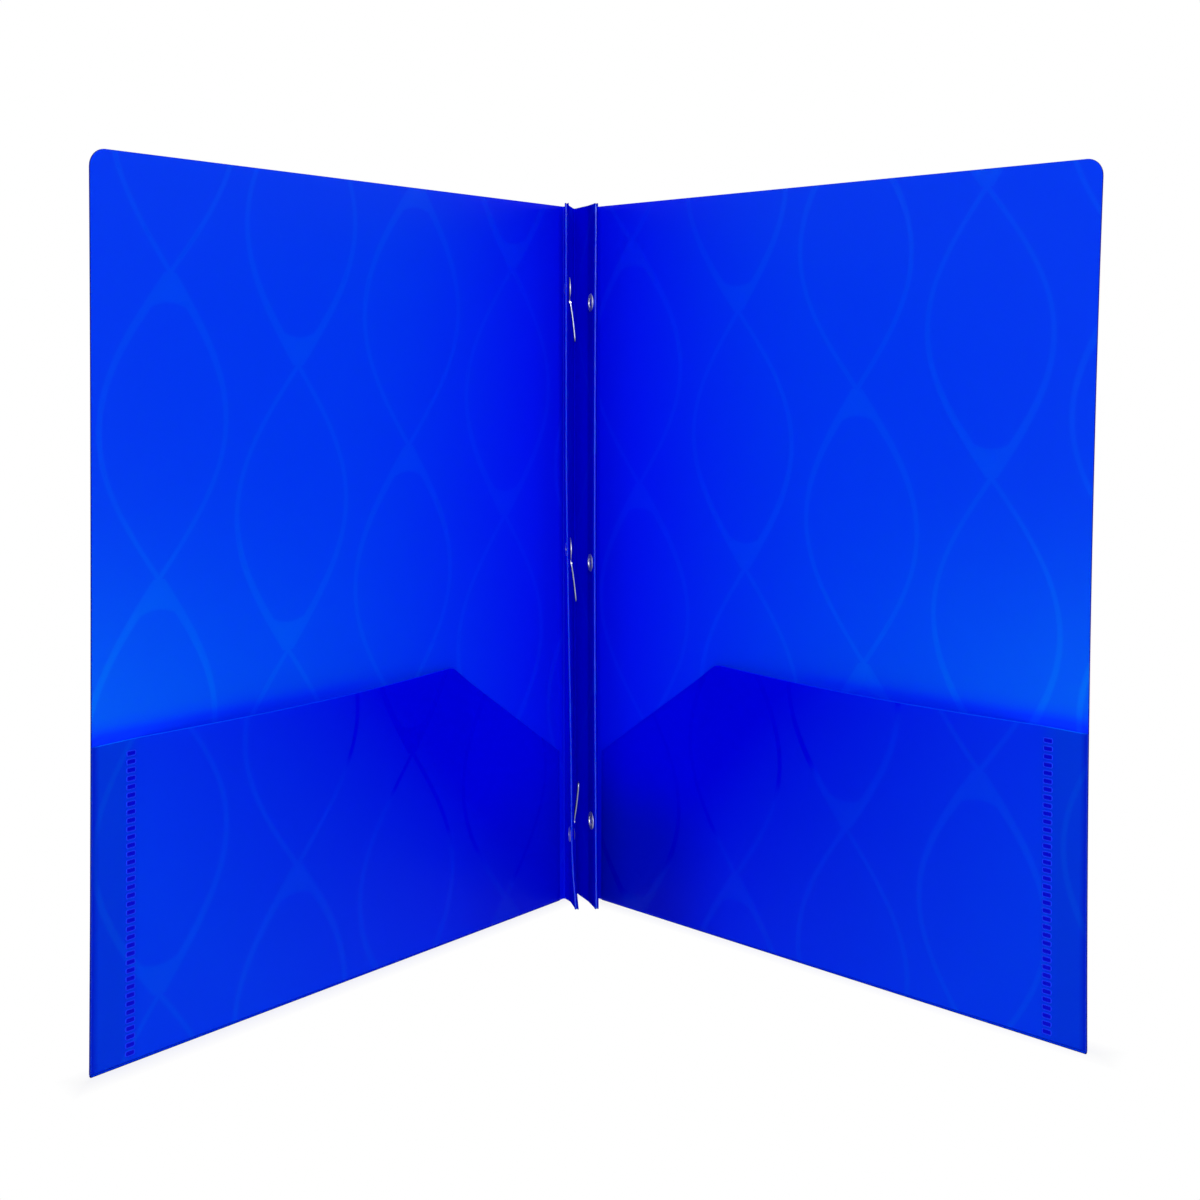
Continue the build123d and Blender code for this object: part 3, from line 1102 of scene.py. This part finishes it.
base_tree.links.new(finished(base_tree, plates, given["Finish"]), made["Bases"])
bases = copies_piece(
    "tang_bases",
    base_tree,
    list(tang_frames.values()),
    {
        "Hole": 1.65 * mm,
        "Radius": 4.9 * mm,
        "Thickness": tang_thickness,
        "Face": fin_face,
        "Neck width": prong_width,
        "Neck end": prong_offset,
        "Knuckle": prong_bead,
        "Knuckle rise": prong_rise,
        "Finish": nickel,
    },
)
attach(bases, "left_fin")
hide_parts(*[place + "_tang_base" for place in hole_heights])

# Tang prongs
# Flat steel tongues with a rounded tip, bent by hand at the knuckle of their base. The upper two hang down
# and the lower one points up, all sprung a little off the fin.
prong_length = 16.5 * mm
prong_lean = math.radians(7.0)
prong_root = 0.62 * mm
prong_spring = 0.2 * mm
# The steel is darker and bluer than bare steel, a painted reflection of the blue sheet round it, with darker
# worn spots
steel_and_reflection = (0.30, 0.33, 0.42)
dull_steel_and_reflection = (0.20, 0.22, 0.30)
steel = metal_finish("prong_steel", steel_and_reflection, dull_steel_and_reflection, roughness=0.36)
tip_least = 0.04
blade_shares = (-1.0, -0.5, 0.0, 0.5, 1.0)
tip_steps = 10
blade_steps = 14


def prong_half_width(run):
    """Half of the blade's width at a distance along it: straight, then a round tip."""
    tip = prong_width / 2
    past = run - (prong_length - tip)
    return tip if past <= 0 else math.sqrt(max(tip**2 - past**2, (tip_least * tip) ** 2))


for place in hole_heights:
    tip = prong_width / 2
    straight = prong_length - tip
    runs = [prong_root + (straight - prong_root) * step / blade_steps for step in range(blade_steps + 1)]
    turns = [math.pi / 2 * step / tip_steps for step in range(1, tip_steps + 1)]
    runs += [straight + tip * math.sin(turn) for turn in turns]
    spot = Vector((0.0, prong_offset, fin_face + prong_rise))
    bend = tang_frames[place] @ Matrix.Translation(spot) @ Matrix.Rotation(prong_lean, 4, "X")
    columns = []
    for share in blade_shares:
        column = []
        for run in runs:
            spring = prong_spring * math.sin(math.pi * run / prong_length)
            column.append(bend @ Vector((share * prong_half_width(run), run, spring + tang_thickness / 2)))
        columns.append(column)
    prong = sheet_piece(place + "_prong", columns, {}, tang_thickness, [steel])
    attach(prong, place + "_prong")
    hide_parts(place + "_tang_prong")

# Floor and light
# A plain white table in a white room, with a soft lamp in front of the folder, a weak one above and another
# behind. The table is seen as pure white but for a narrow shade along the foot of the folder.
floor_half = 6.0
floor_grey = 0.9
floor_roughness = 0.9
shadow_reach = 9.0 * mm
shadow_white = 0.8
folder_reach = 190.0 * mm
floor_corners = ((-1, -1), (1, -1), (1, 1), (-1, 1))
floor = new_object("floor", [(x * floor_half, y * floor_half, 0.0) for x, y in floor_corners], [(0, 1, 2, 3)])
floor_white, tree, shader, place = new_material("floor_white")
grey = (floor_grey, floor_grey, floor_grey, 1.0)
set_inputs(tree, shader, {"Base Color": grey, "Roughness": floor_roughness, "Specular IOR Level": 0.0})


def seen_white(tree):
    """Mask of the rays that see the white itself: straight, mirrored or through a clear piece."""
    rays = add_node(tree, "ShaderNodeLightPath", [])
    turned = calc(tree, "MAXIMUM", rays["Is Glossy Ray"], rays["Is Transmission Ray"])
    return calc(tree, "MAXIMUM", rays["Is Camera Ray"], turned)


glow = add_node(tree, "ShaderNodeEmission", {"Color": (1.0, 1.0, 1.0, 1.0), "Strength": 1.0})[0]
spot = add_node(tree, "ShaderNodeSeparateXYZ", [place])
sideways = calc(tree, "SUBTRACT", calc(tree, "ABSOLUTE", spot[0]), crease_x)
forward = calc(tree, "SUBTRACT", spot[1], crease_y)
across_foot = calc(tree, "MULTIPLY", sideways, math.cos(half_opening))
off_foot = calc(tree, "MULTIPLY_ADD", forward, math.sin(half_opening), across_foot)
depth_square = calc(tree, "MULTIPLY", spot[1], spot[1])
from_middle = calc(tree, "SQRT", calc(tree, "MULTIPLY_ADD", spot[0], spot[0], depth_square))
outside = calc(tree, "SUBTRACT", from_middle, folder_reach)
white = add_node(
    tree,
    "ShaderNodeMapRange",
    {
        "Value": calc(tree, "MAXIMUM", calc(tree, "ABSOLUTE", off_foot), outside),
        "From Max": shadow_reach,
        "To Min": shadow_white,
    },
)[0]
glow_share = calc(tree, "MULTIPLY", seen_white(tree), white)
lit = add_node(tree, "ShaderNodeMixShader", [glow_share, shader.outputs[0], glow])[0]
set_inputs(tree, tree.nodes["Material Output"], {"Surface": lit})
floor.data.materials.append(floor_white)

room_light = 0.36
world = bpy.data.worlds.new("white_room")
bpy.context.scene.world = world
world.use_nodes = True
tree = world.node_tree
strength = calc(tree, "MULTIPLY_ADD", seen_white(tree), 1.0 - room_light, room_light)
set_inputs(tree, tree.nodes["Background"], {"Color": (1.0, 1.0, 1.0, 1.0), "Strength": strength})


def soft_lamp(name, place, size, watts):
    """Square area lamp that looks at the folder's middle."""
    lamp = bpy.data.lights.new(name, "AREA")
    lamp.size = size
    lamp.energy = watts
    obj = bpy.data.objects.new(name, lamp)
    obj.location = place
    aim = Vector((0.0, 0.0, cover_height / 2)) - Vector(place)
    obj.rotation_euler = aim.to_track_quat("-Z", "Y").to_euler()
    bpy.context.scene.collection.objects.link(obj)


soft_lamp("front_lamp", place=(0.05, -2.0, 0.75), size=0.7, watts=27.0)
soft_lamp("top_lamp", place=(-0.2, -1.2, 1.8), size=1.4, watts=5.0)
soft_lamp("back_lamp", place=(0.3, 1.8, 1.6), size=1.6, watts=14.0)
bpy.context.scene.view_settings.view_transform = "Standard"

# Camera
# It stands in front of the open folder, a little to its left and above its middle, and looks slightly down
# and to the right. The lens is shifted down and to the left, so that the folder is in the middle.
camera_place = Vector((-29.1 * mm, -671.2 * mm, 221.3 * mm))
camera_turn = math.radians(-4.16)
camera_tilt = math.radians(1.56)
camera = bpy.data.cameras.new("camera")
camera.sensor_width = 36.0
camera.lens = 54.21
camera.shift_x = -0.035
camera.shift_y = -0.146
camera_object = bpy.data.objects.new("camera", camera)
camera_object.location = camera_place
camera_object.rotation_euler = (math.pi / 2 - camera_tilt, 0.0, camera_turn)
bpy.context.scene.collection.objects.link(camera_object)
bpy.context.scene.camera = camera_object
